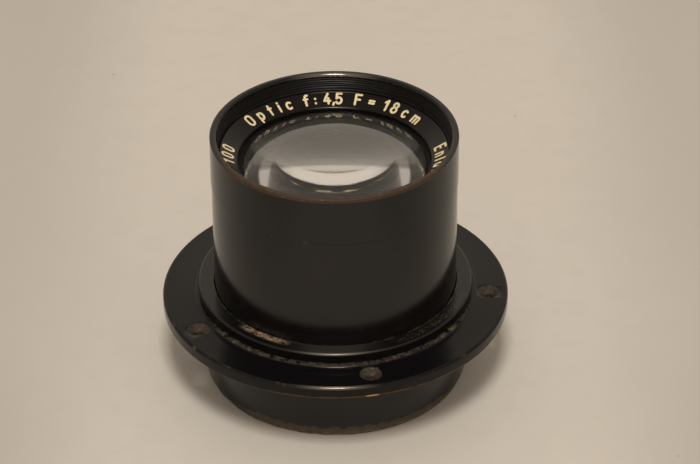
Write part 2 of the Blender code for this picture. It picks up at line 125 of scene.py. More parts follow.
def mesh_object(name, bm, finishes, sharp=32.0):
    """Object from a bmesh, smooth except at its sharp edges, with face-weighted normals."""
    bmesh.ops.recalc_face_normals(bm, faces=bm.faces)
    mesh = bpy.data.meshes.new(name)
    bm.to_mesh(mesh)
    bm.free()
    for finish in finishes:
        mesh.materials.append(finish)
    made = bpy.data.objects.new(name, mesh)
    bpy.context.scene.collection.objects.link(made)
    smooth(made, sharp)
    return made


def smooth(made, sharp=32.0):
    """Smooth shading that keeps edges sharper than an angle."""
    made.data.shade_smooth()
    made.data.set_sharp_from_angle(angle=math.radians(sharp))
    weighted = made.modifiers.new("weighted_normals", 'WEIGHTED_NORMAL')
    weighted.keep_sharp = True


def lathe_faces(bm, outline, steps, material_of=None, displace=None, axis=(0.0, 0.0)):
    """Turn an outline of (r, z) points round an axis. One that starts on the axis is left open."""
    closed = outline[0][0] > 1e-6
    columns = []
    for step in range(steps):
        angle = math.tau * step / steps
        column = []
        for r, z in outline:
            if displace:
                r = displace(r, z, angle)
            x, y = axis[0] + r * math.cos(angle), axis[1] + r * math.sin(angle)
            column.append(bm.verts.new((x * MM, y * MM, z * MM)))
        columns.append(column)
    rows = len(outline) if closed else len(outline) - 1
    for step in range(steps):
        here, following = columns[step], columns[(step + 1) % steps]
        for row in range(rows):
            below = (row + 1) % len(outline)
            face = bm.faces.new((here[row], here[below], following[below], following[row]))
            if material_of:
                face.material_index = material_of(outline[row], outline[below])
    if not closed:
        bmesh.ops.remove_doubles(bm, verts=bm.verts, dist=JOIN_DISTANCE)


def turned(name, corners, finish, steps=STEPS):
    """A plain turned piece with rounded corners."""
    bm = bmesh.new()
    lathe_faces(bm, filleted(corners), steps)
    return mesh_object(name, bm, [finish])


def rows_between(r_start, z_start, r_end, z_end, count):
    """Evenly spaced outline points between two corners, without the last one."""
    return [(r_start + (r_end - r_start) * i / count, z_start + (z_end - z_start) * i / count)
            for i in range(count)]


def cut_away(target, cutter):
    """Cut a closed mesh out of a piece, keeping the cutter's finish on the cut faces."""
    modifier = target.modifiers.new("cut", 'BOOLEAN')
    modifier.operation = 'DIFFERENCE'
    modifier.solver = 'EXACT'
    modifier.material_mode = 'TRANSFER'
    modifier.object = cutter
    depsgraph = bpy.context.evaluated_depsgraph_get()
    cut_mesh = bpy.data.meshes.new_from_object(target.evaluated_get(depsgraph))
    target.modifiers.clear()
    target.data = cut_mesh
    bpy.data.objects.remove(cutter)
    smooth(target)


def sag(vertex, radius, edge_r, count):
    """Points of a lens surface, from the axis out. One of positive radius bulges to the front."""
    points = []
    for step in range(count + 1):
        r = edge_r * step / count
        rise = math.copysign(math.sqrt(radius ** 2 - r * r), radius)
        points.append((r, vertex - radius + rise))
    return points


def glass_piece(name, front, rear, glass, edge, rear_glass=None):
    """A lens element with a blackened ground edge.

    A flat back has a blacked margin, and may have a glass finish of its own.
    """
    level = 0.0001  # millimetres of rise in a face that counts as flat

    def finish_of(a, b):
        upright = abs(a[0] - b[0]) < 0.02
        ground_edge = upright and a[0] > 5.0
        flat = abs(a[1] - b[1]) < level
        if ground_edge or flat and min(a[0], b[0]) >= BLACKED_R:
            return 1
        return 2 if flat and rear_glass else 0

    bm = bmesh.new()
    lathe_faces(bm, front + rear[::-1], STEPS, material_of=finish_of)
    return mesh_object(name, bm, [glass, edge, rear_glass or glass], sharp=25.0)


# -------------------- materials

class Nodes:
    """Builds the nodes of one tree. A value may be a plain number or another node's socket."""

    def __init__(self, tree):
        self.tree = tree

    def node(self, kind, **settings):
        made = self.tree.nodes.new(kind)
        for key, value in settings.items():
            setattr(made, key, value)
        return made

    def put(self, socket, value):
        if isinstance(value, bpy.types.NodeSocket):
            self.tree.links.new(value, socket)
        else:
            socket.default_value = value

    def math(self, operation, a, b=0.0):
        made = self.node('ShaderNodeMath', operation=operation)
        self.put(made.inputs[0], a)
        self.put(made.inputs[1], b)
        return made.outputs[0]

    def split(self, vector):
        made = self.node('ShaderNodeSeparateXYZ')
        self.put(made.inputs[0], vector)
        return made.outputs

    def eased(self, value, given, wanted):
        """Map one range of values to another, levelling off smoothly at both ends."""
        made = self.node('ShaderNodeMapRange', interpolation_type='SMOOTHSTEP')
        self.put(made.inputs["Value"], value)
        for name, number in zip(("From Min", "From Max", "To Min", "To Max"), given + wanted):
            made.inputs[name].default_value = number
        return made.outputs["Result"]


class Finish(Nodes):
    """A procedural material, built up in layers over the piece's own coordinates in millimetres.

    Masks and patterns run from 0 to 1. The coordinates are x, y and z, the distance r from the
    optical axis, and turn, the angle round it.
    """

    # The Mix node's first input and its output, which are separate sockets for each kind of value
    MIX_SOCKETS = {'RGBA': (6, 2), 'FLOAT': (2, 0)}

    def __init__(self, name, colour, roughness, metallic=0.0):
        self.material = bpy.data.materials.new(name)
        self.material.use_nodes = True
        super().__init__(self.material.node_tree)
        self.shader = self.tree.nodes["Principled BSDF"]
        self.colour = (*colour, 1.0)
        self.roughness = roughness
        self.metallic = metallic
        self.normal = None
        scaled = self.node('ShaderNodeVectorMath', operation='SCALE')
        self.put(scaled.inputs[0], self.node('ShaderNodeTexCoord').outputs["Object"])
        scaled.inputs["Scale"].default_value = 1.0 / MM
        self.place = scaled.outputs[0]
        self.x, self.y, self.z = self.split(self.place)
        self.r = self.math('SQRT', self.math('ADD', self.math('MULTIPLY', self.x, self.x),
                                             self.math('MULTIPLY', self.y, self.y)))
        self.turn = self.math('MULTIPLY', self.math('ARCTAN2', self.y, self.x), math.degrees(1.0))

    def step(self, value, low, high):
        """0 below low and 1 above high, smoothly. A low above high runs the other way."""
        if low > high:
            return self.eased(value, (high, low), (1.0, 0.0))
        return self.eased(value, (low, high), (0.0, 1.0))

    def band(self, value, low, high, soft):
        """1 between low and high, fading over soft to each side of both."""
        return self.all(self.step(value, low - soft, low + soft),
                        self.step(value, high + soft, high - soft))

    def all(self, first, *others):
        """Where every mask holds. A plain number thins the mask."""
        for other in others:
            first = self.math('MULTIPLY', first, other)
        return first

    def either(self, a, b):
        """Where one mask or the other holds."""
        return self.math('MAXIMUM', a, b)

    def squeezed(self, along_turn, along_height):
        """Coordinates scaled separately round the lens and along it, for streaks."""
        made = self.node('ShaderNodeCombineXYZ')
        self.put(made.inputs[0], self.math('MULTIPLY', self.turn, along_turn))
        self.put(made.inputs[1], self.math('MULTIPLY', self.z, along_height))
        self.put(made.inputs[2], self.math('MULTIPLY', self.r, along_height))
        return made.outputs[0]

    def noise(self, scale, detail=3.0, roughness=0.55, place=None):
        made = self.node('ShaderNodeTexNoise')
        self.put(made.inputs["Vector"], place or self.place)
        made.inputs["Scale"].default_value = scale
        made.inputs["Detail"].default_value = detail
        made.inputs["Roughness"].default_value = roughness
        return made.outputs["Fac"]

    def cells(self, scale):
        """Distance to the nearest of many scattered points."""
        made = self.node('ShaderNodeTexVoronoi')
        self.put(made.inputs["Vector"], self.place)
        made.inputs["Scale"].default_value = scale
        return made.outputs["Distance"]

    def mix(self, share, a, b, kind='RGBA'):
        first_input, output = self.MIX_SOCKETS[kind]
        made = self.node('ShaderNodeMix', data_type=kind)
        self.put(made.inputs[0], share)
        self.put(made.inputs[first_input], a)
        self.put(made.inputs[first_input + 1], b)
        return made.outputs[output]

    def layer(self, share, colour, roughness=None, metallic=None):
        """Lay another finish over the ones so far, where the share is above 0."""
        self.colour = self.mix(share, self.colour, (*colour, 1.0))
        if roughness is not None:
            self.roughness = self.mix(share, self.roughness, roughness, 'FLOAT')
        if metallic is not None:
            self.metallic = self.mix(share, self.metallic, metallic, 'FLOAT')

    def bump(self, height, distance, strength=1.0):
        """Relief from a height of 0 to 1, of the given depth in millimetres."""
        made = self.node('ShaderNodeBump')
        made.inputs["Strength"].default_value = strength
        made.inputs["Distance"].default_value = distance * MM
        self.put(made.inputs["Height"], height)
        if self.normal is not None:
            self.put(made.inputs["Normal"], self.normal)
        self.normal = made.outputs[0]

    def done(self, **sockets):
        """Wire the layers to the shader, set any other of its sockets, and return the material."""
        self.put(self.shader.inputs["Base Color"], self.colour)
        self.put(self.shader.inputs["Roughness"], self.roughness)
        self.put(self.shader.inputs["Metallic"], self.metallic)
        if self.normal is not None:
            self.put(self.shader.inputs["Normal"], self.normal)
        for name, value in sockets.items():
            self.shader.inputs[name.replace("_", " ")].default_value = value
        return self.material


# Colours, as linear red, green and blue
LACQUER = (0.0038, 0.0033, 0.0034)
LACQUER_MOTTLE = (0.006, 0.0046, 0.0038)
FLANGE_TOP_LACQUER = (0.004, 0.0036, 0.0042)
NAME_RING_LACQUER = (0.0038, 0.0034, 0.0036)
NAME_RING_MOTTLE = (0.006, 0.0052, 0.005)
HOOD_BLACK = (0.0036, 0.003, 0.0026)
HOOD_MOTTLE = (0.0065, 0.0052, 0.0042)
MATT_BLACK = (0.012, 0.0105, 0.0095)
MATT_MOTTLE = (0.02, 0.017, 0.014)
HAIRLINE = (0.07, 0.058, 0.042)
# Painted highlight: light metal laid on edges only where the lamp's highlight falls
PAINTED_HIGHLIGHT_METAL = (0.34, 0.3, 0.25)
BROWNED = (0.05, 0.029, 0.017)
BARE_BRASS = (0.42, 0.27, 0.12)
RUBBED_PATCH = (0.26, 0.185, 0.125)
RUBBED_BRIGHT = (0.6, 0.46, 0.34)
RUST_BROWN = (0.085, 0.036, 0.012)
CHIPPED_BRASS = (0.55, 0.3, 0.15)
DUST = (0.2, 0.165, 0.12)
SEAM_GRIME = (0.03, 0.024, 0.018)
CRUMBS = (0.17, 0.15, 0.115)
TIDE_MARK = (0.06, 0.048, 0.034)
DULL_FILM = (0.019, 0.0165, 0.014)
# Dirt on the foot's downward bevel, darkened further as painted shade
BEVEL_DIRT_AND_SHADE = (0.008, 0.005, 0.003)
FOOT_DUST = (0.066, 0.051, 0.036)
FOOT_GRIT = (0.17, 0.125, 0.075)
# Painted contact shadow, low on the foot's left side
FOOT_CONTACT_SHADOW = (0.0012, 0.001, 0.0008)
BOSS_DUST = (0.042, 0.034, 0.024)
BOSS_DUST_PALE = (0.125, 0.105, 0.074)
SINK_BRASS = (0.1, 0.068, 0.042)
SINK_GRIME = (0.026, 0.02, 0.014)
CREAM = (0.83, 0.69, 0.42)
CREAM_YELLOWED = (0.7, 0.54, 0.3)
CLEAR = (1.0, 1.0, 1.0)
CLEAR_TINTED = (0.985, 0.995, 0.99)
TURNED_BRASS = (0.55, 0.38, 0.16)
TARNISHED_BRASS = (0.3, 0.19, 0.08)
BLUED_STEEL = (0.19, 0.205, 0.24)
SCREW_STEEL = (0.4, 0.38, 0.35)
TABLE = (0.675, 0.63, 0.575)
TABLE_CLOUDED = (0.655, 0.61, 0.555)
TABLE_MOTTLE = (0.635, 0.59, 0.535)
# Painted shade that darkens the table to the sides
TABLE_SIDE_SHADE = (0.5, 0.465, 0.42)
TABLE_GRAINS = (0.36, 0.32, 0.27)

LACQUER_ROUGHNESS = 0.16
LACQUER_IOR = 1.43  # an index of refraction here sets how strongly a black coat mirrors


def lacquer_base(name):
    """Old satin lacquer: faint mottling, hairline scratches, specks of dust."""
    made = Finish(name, LACQUER, LACQUER_ROUGHNESS)
    mottle = made.noise(0.35, 4.0)
    made.roughness = made.math('ADD', LACQUER_ROUGHNESS - 0.06, made.all(mottle, 0.12))
    made.layer(made.step(made.noise(0.09, 3.0), 0.45, 0.75), LACQUER_MOTTLE)
    hair = made.noise(1.0, 2.0, 0.5, made.squeezed(0.055, 3.2))
    scratched = made.step(made.noise(0.22), 0.50, 0.66)
    made.layer(made.all(made.band(hair, 0.497, 0.503, 0.004), scratched, 0.30), HAIRLINE, 0.45)
    dusty = made.step(made.noise(0.30), 0.52, 0.62)
    made.layer(made.all(made.step(made.cells(1.1), 0.085, 0.045), dusty, 0.55), DUST, 0.8)
    made.bump(made.noise(0.8, 4.0), 0.012, 0.5)
    return made


def worn_edge(made, edge_mask, patchiness, share):
    """Lacquer rubbed through to browned brass along an edge."""
    mask = made.all(edge_mask, made.step(patchiness, 0.46, 0.60), share)
    made.layer(mask, BROWNED, 0.42, 0.35)
    made.layer(made.all(mask, made.step(patchiness, 0.60, 0.70)), BARE_BRASS, 0.38, 1.0)


def painted_highlight(made, mask, share):
    """Painted highlight: a light, glossy metal strip laid on an edge where the lamp's highlight falls,
    so that it shines brighter there.
    """
    made.layer(made.all(mask, share), PAINTED_HIGHLIGHT_METAL, 0.10, 1.0)


def sleeve_finish():
    """Front sleeve: the rim's front edge is rubbed brown, and its back lip carries a painted highlight.
    """
    made = lacquer_base("sleeve_lacquer")
    rim = made.step(made.z, SLEEVE_TOP - 1.1, SLEEVE_TOP - 0.7)
    outside = made.all(rim, made.step(made.r, SLEEVE_R - 1.35, SLEEVE_R - 1.05))
    facing = made.band(made.turn, -152, -28, 8)
    patch = made.noise(0.55, 5.0, 0.65)
    back_lip = made.all(made.step(made.r, SLEEVE_R - 0.9, SLEEVE_R - 1.1), rim)
    # painted highlight: glossy metal on the back lip, only at the back where the lamp's highlight falls
    painted_highlight(made, made.all(back_lip, made.band(made.turn, 76, 104, 12)), 0.5)
    made.layer(made.all(outside, facing, made.step(patch, 0.22, 0.44)), BROWNED, 0.55, 0.2)
    bare = made.step(made.noise(1.3, 4.0, 0.7), 0.58, 0.72)
    made.layer(made.all(outside, facing, bare, 0.5), BARE_BRASS, 0.4, 1.0)
    worn_edge(made, made.step(made.z, SEAM + 0.35, SEAM + 0.1), made.noise(0.4, 4.0), 0.5)
    return made.done(IOR=LACQUER_IOR)


def barrel_finish():
    """Fixed barrel: like the sleeve, with a grimy line where it enters the shoulder."""
    made = lacquer_base("barrel_lacquer")
    low = made.step(made.z, SHOULDER_TOP + 0.35, SHOULDER_TOP + 0.02)
    made.layer(made.all(low, made.step(made.noise(0.5, 4.0), 0.40, 0.64), 0.5), SEAM_GRIME, 0.75)
    return made.done(IOR=LACQUER_IOR)


def dirty_shoulder(made):
    """A brass patch, pale crumbs, a tide mark and a dull film on top of the shoulder ring, and a
    painted highlight on its outer edge at the front.
    """
    top = made.step(made.z, SHOULDER_TOP - 0.5, SHOULDER_TOP - 0.3)
    patch_place = made.all(made.band(made.turn, -134, -113, 4), made.band(made.r, 28.6, 30.2, 0.5))
    patch = made.all(top, patch_place, made.step(made.noise(1.1, 6.0, 0.75), 0.43, 0.50))
    made.layer(patch, RUBBED_PATCH, 0.5, 0.35)
    made.layer(made.all(patch, made.step(made.noise(1.6, 3.0), 0.50, 0.60)), RUBBED_BRIGHT, 0.45, 0.6)
    crumb_place = made.either(made.band(made.turn, -62, -14, 6),
                              made.all(made.band(made.turn, 40, 160, 20), 0.6))
    crease = made.band(made.r, 29.6, 31.2, 0.5)
    crumbs = made.step(made.noise(3.2, 4.0, 0.75), 0.54, 0.68)
    made.layer(made.all(top, crease, crumb_place, crumbs), CRUMBS, 0.85)
    tide = made.step(made.r, BARREL_R + 0.9, BARREL_R + 0.2)
    made.layer(made.all(top, tide, made.step(made.noise(0.6, 4.0), 0.40, 0.62), 0.6), TIDE_MARK, 0.8)
    front = made.band(made.turn, -106, -74, 10)
    made.layer(made.all(top, front, made.step(made.noise(0.25, 4.0), 0.20, 0.45)), DULL_FILM, 0.6)
    edge = made.all(top, made.step(made.r, SHOULDER_R - 0.6, SHOULDER_R - 0.35))
    # painted highlight: glossy metal on the outer edge, only at the front where the lamp's highlight
    # falls
    painted_highlight(made, made.all(edge, made.band(made.turn, -97, -83, 9)), 0.5)


def dusty_foot(made):
    """Dirt and painted shade on the bevel at the tube's end, a painted contact shadow low at its left
    end, and dust and grit on the side that faces the camera.
    """
    grit = made.noise(0.45, 6.0, 0.7)
    # dirt on the downward bevel, darkened further as painted shade
    bevel = made.step(made.z, FOOT_TOP + 0.4, FOOT_TOP - 0.2)
    made.layer(made.all(bevel, made.band(made.r, 0.0, TUBE_R + 0.1, 0.1)), BEVEL_DIRT_AND_SHADE, 0.3)
    dusty_side = made.band(made.turn, -136, -28, 8)
    ragged_height = made.math('ADD', made.z, made.all(grit, -3.4))
    made.layer(made.all(made.step(ragged_height, 1.2, 0.6), dusty_side), FOOT_DUST, 0.85)
    # painted contact shadow: a near-black band with its sheen taken away, low on the foot's left side
    left_end_shadow = made.band(made.turn, -176, -146, 3)
    made.layer(made.all(made.step(made.z, 1.1, 0.7), left_end_shadow), FOOT_CONTACT_SHADOW, 0.7, 1.0)
    low = made.step(made.z, FOOT_TOP + 0.2, 0.4)
    made.layer(made.all(low, made.step(grit, 0.46, 0.58), dusty_side), FOOT_GRIT, 0.9)


def mount_finish():
    """Shoulder ring and rear tube."""
    made = lacquer_base("mount_lacquer")
    dirty_shoulder(made)
    dusty_foot(made)
    worn_edge(made, made.band(made.z, FLANGE_LOW - 2.4, FLANGE_LOW, 0.5), made.noise(0.35, 4.0), 0.5)
    return made.done(IOR=LACQUER_IOR)


def flange_finish():
    """Flange: glossy top, a painted highlight on the front of its top edge, dust packed on the boss,
    brown wear along the lower edge.
    """
    made = lacquer_base("flange_lacquer")
    made.layer(made.step(made.z, FLANGE_TOP - 0.3, FLANGE_TOP - 0.1), FLANGE_TOP_LACQUER)
    boss_top = made.step(made.z, FLANGE_BOSS_TOP - 0.30, FLANGE_BOSS_TOP - 0.12)
    dusty_side = made.band(made.turn, -150, -20, 15)
    crest = made.all(boss_top, made.either(dusty_side, made.step(made.noise(0.1), 0.55, 0.65)))
    packed = made.noise(0.8, 6.0, 0.75)
    made.layer(made.all(crest, made.step(packed, 0.40, 0.55)), BOSS_DUST, 0.9)
    made.layer(made.all(crest, made.step(packed, 0.54, 0.68)), BOSS_DUST_PALE, 0.9)
    top_edge = made.all(made.step(made.z, FLANGE_TOP - 0.65, FLANGE_TOP - 0.45),
                        made.step(made.r, FLANGE_R - 0.75, FLANGE_R - 0.55))
    # painted highlight: glossy metal on the top edge, only at the front where the lamp's highlight
    # falls
    painted_highlight(made, made.all(top_edge, made.band(made.turn, -98, -82, 8)), 0.42)
    low_edge = made.step(made.z, FLANGE_LOW + 0.65, FLANGE_LOW + 0.35)
    front = made.band(made.turn, -112, -40, 14)
    rusty = made.step(made.noise(0.35, 4.0), 0.36, 0.56)
    made.layer(made.all(low_edge, front, rusty), RUST_BROWN, 0.5, 0.3)
    chip = made.all(made.step(made.z, FLANGE_LOW + 0.60, FLANGE_LOW + 0.40),
                    made.band(made.turn, -79.8, -76.2, 1))
    made.layer(chip, CHIPPED_BRASS, 0.45, 0.5)
    upper_edge = made.all(made.band(made.z, FLANGE_TOP - 0.5, FLANGE_TOP - 0.05, 0.1),
                          made.step(made.r, FLANGE_R - 0.8, FLANGE_R - 0.4))
    worn_edge(made, upper_edge, made.noise(0.3, 5.0, 0.65), 0.22)
    return made.done(IOR=1.31)


def countersink_finish():
    """Bare drilled brass, dulled and dirty."""
    made = Finish("countersink_brass", SINK_BRASS, 0.45, 0.6)
    made.layer(made.step(made.noise(1.2, 5.0, 0.7), 0.30, 0.56), SINK_GRIME, 0.75, 0.1)
    tool_marks = made.math('FRACT', made.math('MULTIPLY', made.z, 5.0))
    made.bump(tool_marks, 0.015)
    return made.done()


def matt_black_finish(name):
    """Anti-reflection paint on turned metal."""
    made = Finish(name, MATT_BLACK, 0.55)
    made.layer(made.step(made.noise(0.8, 4.0), 0.45, 0.70), MATT_MOTTLE, 0.65)
    made.bump(made.noise(6.0, 3.0), 0.01)
    return made.done(IOR=LACQUER_IOR)


def hood_finish():
    """Dead black paint on the ridged wall of the hood."""
    made = Finish("hood_black", HOOD_BLACK, 0.40)
    made.layer(made.step(made.noise(0.6, 4.0), 0.45, 0.70), HOOD_MOTTLE, 0.48)
    return made.done(IOR=1.27)


def name_ring_finish():
    """Satin black cone with faint turning marks, painted highlights on its edges at the back and a
    little dust.
    """
    made = Finish("name_ring_lacquer", NAME_RING_LACQUER, 0.22)
    made.layer(made.step(made.noise(0.5, 4.0), 0.48, 0.72), NAME_RING_MOTTLE, 0.25)
    inner_edge = made.all(made.step(made.r, NAME_INNER + 0.22, NAME_INNER + 0.12),
                          made.step(made.z, NAME_INNER_TOP - 0.2, NAME_INNER_TOP - 0.1))
    edges = made.either(inner_edge, made.step(made.z, NAME_TOP - 0.22, NAME_TOP - 0.12))
    # painted highlight: glossy metal on both edges, only at the back where the lamp's highlight falls
    painted_highlight(made, made.all(edges, made.band(made.turn, 80, 100, 8)), 0.40)
    specks = made.all(made.step(made.cells(1.6), 0.07, 0.035), made.step(made.noise(0.4), 0.5, 0.6))
    made.layer(made.all(specks, 0.5), DUST, 0.8)
    turning_marks = made.noise(3.5, 2.0, 0.5, made.squeezed(0.0, 3.0))
    made.bump(turning_marks, 0.012)
    return made.done(IOR=1.36)


def paint_finish():
    """Cream paint of the letters, slightly yellowed."""
    made = Finish("letter_paint", CREAM, 0.55)
    made.layer(made.step(made.noise(1.5, 4.0), 0.45, 0.70), CREAM_YELLOWED, 0.62)
    made.bump(made.noise(5.0, 3.0), 0.02)
    return made.done()


def glass_finish(name, roughness):
    """Uncoated optical glass, polished or with a thin haze."""
    made = Finish(name, CLEAR, roughness)
    made.layer(made.step(made.noise(0.25), 0.4, 0.7), CLEAR_TINTED)
    return made.done(IOR=1.66, Transmission_Weight=1.0)


def steel_finish(name, colour, roughness):
    """Steel with fine rolling marks and dull patches."""
    made = Finish(name, colour, roughness, 1.0)
    dull = tuple(channel * 0.7 for channel in colour)
    made.layer(made.step(made.noise(0.6, 4.0), 0.42, 0.70), dull, roughness + 0.1)
    made.bump(made.noise(4.0, 2.0, 0.5, made.squeezed(0.3, 4.0)), 0.006)
    return made.done()


def brass_finish():
    """Turned brass, tarnished in patches."""
    made = Finish("turned_brass", TURNED_BRASS, 0.34, 1.0)
    made.layer(made.step(made.noise(0.5, 4.0), 0.45, 0.72), TARNISHED_BRASS, 0.5)
    made.bump(made.noise(3.0, 2.0, 0.5, made.squeezed(0.0, 6.0)), 0.01)
    return made.done()


# -------------------- lettering

STROKE_HALF = 0.105  # half the width of a stroke, in letter heights
ADVANCE = 1.15  # a letter takes up this many times the width it is drawn at
PAINT_RISE = 0.03  # how far the paint stands above the metal
PAINT_DEPTH = 0.06


def line(x0, y0, x1, y1):
    """Points along a straight stroke, in letter heights."""
    count = max(1, math.ceil(math.hypot(x1 - x0, y1 - y0) / 0.2))
    return [(x0 + (x1 - x0) * i / count, y0 + (y1 - y0) * i / count) for i in range(count + 1)]


def arc(cx, cy, rx, ry, start, end):
    """Points along part of an ellipse, between two angles."""
    count = max(4, math.ceil(abs(end - start) / 18.0))
    angles = [math.radians(start + (end - start) * i / count) for i in range(count + 1)]
    return [(cx + rx * math.cos(a), cy + ry * math.sin(a)) for a in angles]


def ring(cx, cy, rx, ry):
    """A closed ellipse."""
    return arc(cx, cy, rx, ry, 90, 450)


def stadium(width, low, high):
    """A closed oval with straight sides."""
    half = width / 2
    top = arc(half, high - half, half, half, 0, 180)
    bottom = arc(half, low + half, half, half, 180, 360)
    return top + bottom + [(width, high - half)]


def arch(left, right, rise):
    """A small letter's arch, down to the right."""
    return arc((left + right) / 2, 0.66 - rise, (right - left) / 2, rise, 180, 0) + [(right, 0)]


STEM = line(0, 0, 0, 1)
SHORT_STEM = line(0, 0, 0, 0.66)
BOWL = ring(0.23, 0.33, 0.23, 0.33)
GLYPHS = {  # width, then strokes. A capital is 1 high
    "0": (0.48, [stadium(0.48, 0, 1)]),
    "1": (0.3, [line(0, 0.76, 0.22, 1), line(0.22, 1, 0.22, 0)]),
    "2": (0.48, [arc(0.24, 0.75, 0.24, 0.25, 170, -30) + line(0.45, 0.62, 0, 0), line(0, 0, 0.48, 0)]),
    "3": (0.48, [arc(0.23, 0.76, 0.22, 0.24, 155, -90), arc(0.23, 0.27, 0.25, 0.27, 90, -155)]),
    "4": (0.52, [line(0.32, 1, 0, 0.28), line(0, 0.28, 0.52, 0.28), line(0.36, 0.56, 0.36, 0)]),
    "5": (0.48, [line(0.44, 1, 0.08, 1), line(0.08, 1, 0.04, 0.54),
                 arc(0.23, 0.31, 0.25, 0.31, 140, -150)]),
    "6": (0.5, [ring(0.25, 0.29, 0.25, 0.29), line(0.04, 0.44, 0.36, 1)]),
    "8": (0.5, [ring(0.25, 0.77, 0.2, 0.23), ring(0.25, 0.27, 0.25, 0.27)]),
    "9": (0.5, [ring(0.25, 0.71, 0.25, 0.29), line(0.46, 0.56, 0.14, 0)]),
    ",": (0.14, [line(0.1, 0.06, 0.04, -0.14)]),
    ":": (0.1, [line(0.05, 0.1, 0.05, 0.13), line(0.05, 0.55, 0.05, 0.58)]),
    "=": (0.42, [line(0, 0.34, 0.42, 0.34), line(0, 0.58, 0.42, 0.58)]),
    "E": (0.44, [STEM, line(0, 1, 0.44, 1), line(0, 0.52, 0.36, 0.52), line(0, 0, 0.44, 0)]),
    "F": (0.46, [STEM, line(0, 1, 0.46, 1), line(0, 0.52, 0.38, 0.52)]),
    "N": (0.5, [STEM, line(0, 1, 0.5, 0), line(0.5, 0, 0.5, 1)]),
    "O": (0.56, [stadium(0.56, 0, 1)]),
    "a": (0.46, [BOWL, line(0.46, 0.66, 0.46, 0)]),
    "c": (0.42, [arc(0.23, 0.33, 0.23, 0.33, 48, 312)]),
    "e": (0.46, [line(0.01, 0.36, 0.45, 0.36) + arc(0.23, 0.33, 0.22, 0.33, 8, 318)]),
    "f": (0.32, [arc(0.31, 0.8, 0.17, 0.2, 75, 180) + [(0.14, 0)], line(0, 0.62, 0.32, 0.62)]),
    "g": (0.46, [BOWL, line(0.46, 0.66, 0.46, -0.08) + arc(0.23, -0.08, 0.23, 0.2, 0, -150)]),
    "i": (0.06, [line(0.03, 0, 0.03, 0.64), line(0.03, 0.9, 0.03, 0.92)]),
    "l": (0.06, [line(0.03, 0, 0.03, 1)]),
    "m": (0.66, [SHORT_STEM, arch(0, 0.33, 0.19), arch(0.33, 0.66, 0.19)]),
    "n": (0.4, [SHORT_STEM, arch(0, 0.4, 0.22)]),
    "o": (0.46, [BOWL]),
    "p": (0.46, [line(0, 0.66, 0, -0.28), BOWL]),
    "r": (0.28, [SHORT_STEM, arc(0.22, 0.4, 0.22, 0.26, 180, 68)]),
    "s": (0.38, [arc(0.19, 0.49, 0.18, 0.17, 35, 270) + arc(0.19, 0.16, 0.19, 0.16, 90, -145)]),
    "t": (0.3, [line(0.12, 0.94, 0.12, 0), line(0, 0.64, 0.3, 0.64)]),
    " ": (0.45, []),
}


def stroke_sections(points):
    """Centre, direction and half width of each cross-section of a stroke with round ends."""
    path = [Vector(p) for p in points]
    tangents = [(path[min(i + 1, len(path) - 1)] - path[max(i - 1, 0)]).normalized()
                for i in range(len(path))]
    cap = [polar(STROKE_HALF, turn) for turn in (10.0, 35.0, 60.0)]
    start = [(path[0] - tangents[0] * reach, tangents[0], half) for reach, half in cap]
    middle = [(point, tangent, STROKE_HALF) for point, tangent in zip(path, tangents)]
    end = [(path[-1] + tangents[-1] * reach, tangents[-1], half) for reach, half in reversed(cap)]
    return start + middle + end


def add_stroke(bm, points, offset, height, place):
    """One stroke as a thin closed body. place maps (along, up, out of the surface) to the lens."""
    rings = []
    for centre, tangent, half in stroke_sections(points):
        side = Vector((-tangent.y, tangent.x)) * half
        left, right = (centre + side) * height, (centre - side) * height
        rings.append([bm.verts.new(place(p.x + offset, p.y, rise) * MM)
                      for p, rise in ((left, PAINT_RISE), (right, PAINT_RISE),
                                      (right, -PAINT_DEPTH), (left, -PAINT_DEPTH))])
    for a, b in zip(rings, rings[1:]):
        for i in range(4):
            bm.faces.new((a[i], a[(i + 1) % 4], b[(i + 1) % 4], b[i]))
    bm.faces.new(rings[0][::-1])
    bm.faces.new(rings[-1])


def add_text(bm, text, height, tracking, place):
    """Letters centred on 0 along the surface."""
    width = sum(GLYPHS[letter][0] * height * ADVANCE + tracking for letter in text) - tracking
    offset = -width / 2.0
    for letter in text:
        drawn_width, strokes = GLYPHS[letter]
        for points in strokes:
            add_stroke(bm, points, offset, height, place)
        offset += drawn_width * height * ADVANCE + tracking


def on_name_ring(centre_turn):
    """Place letters on the cone, tops outwards, reading clockwise, centred at an angle from +Y."""
    slope = math.atan2(NAME_TOP - NAME_INNER_TOP, NAME_R - NAME_INNER)
    baseline = 1.12

    def place(along, up, out):
        slant = baseline + up
        r = NAME_INNER + slant * math.cos(slope) - out * math.sin(slope)
        z = NAME_INNER_TOP + slant * math.sin(slope) + out * math.cos(slope)
        turn = math.radians(centre_turn) + along / NAME_TEXT_R
        return Vector((r * math.sin(turn), r * math.cos(turn), z))
    return place


def on_cylinder(radius, turn_degrees, base_z):
    """Place letters upright on a cylinder, centred at an angle."""
    def place(along, up, out):
        turn = math.radians(turn_degrees) + along / radius
        return Vector(((radius + out) * math.cos(turn), (radius + out) * math.sin(turn), base_z + up))
    return place


# -------------------- pieces

NAME_TEXT_R = 24.6  # radius at which the name ring's letters are spaced
LETTER_HEIGHT = 2.7
NAME_RING_WORDS = (  # word, middle in degrees clockwise from the back, space between letters
    ("Optic", -40, 1.9), ("f", -16, 0), (":", -10.7, 0), ("4,5", -0.7, 0.4), ("F", 13.4, 0),
    ("=", 21.3, 0), ("18", 33.2, 1.2), ("c", 43.2, 0), ("m", 51.8, 0),
    ("Enlarging lens", 123, 1.5), ("No 100", -101, 1.5),
)
SCALE_STOPS = (("4,5", 4.5), ("6,3", 6.3), ("9", 9), ("12,5", 12.5), ("18", 18), ("25", 25))


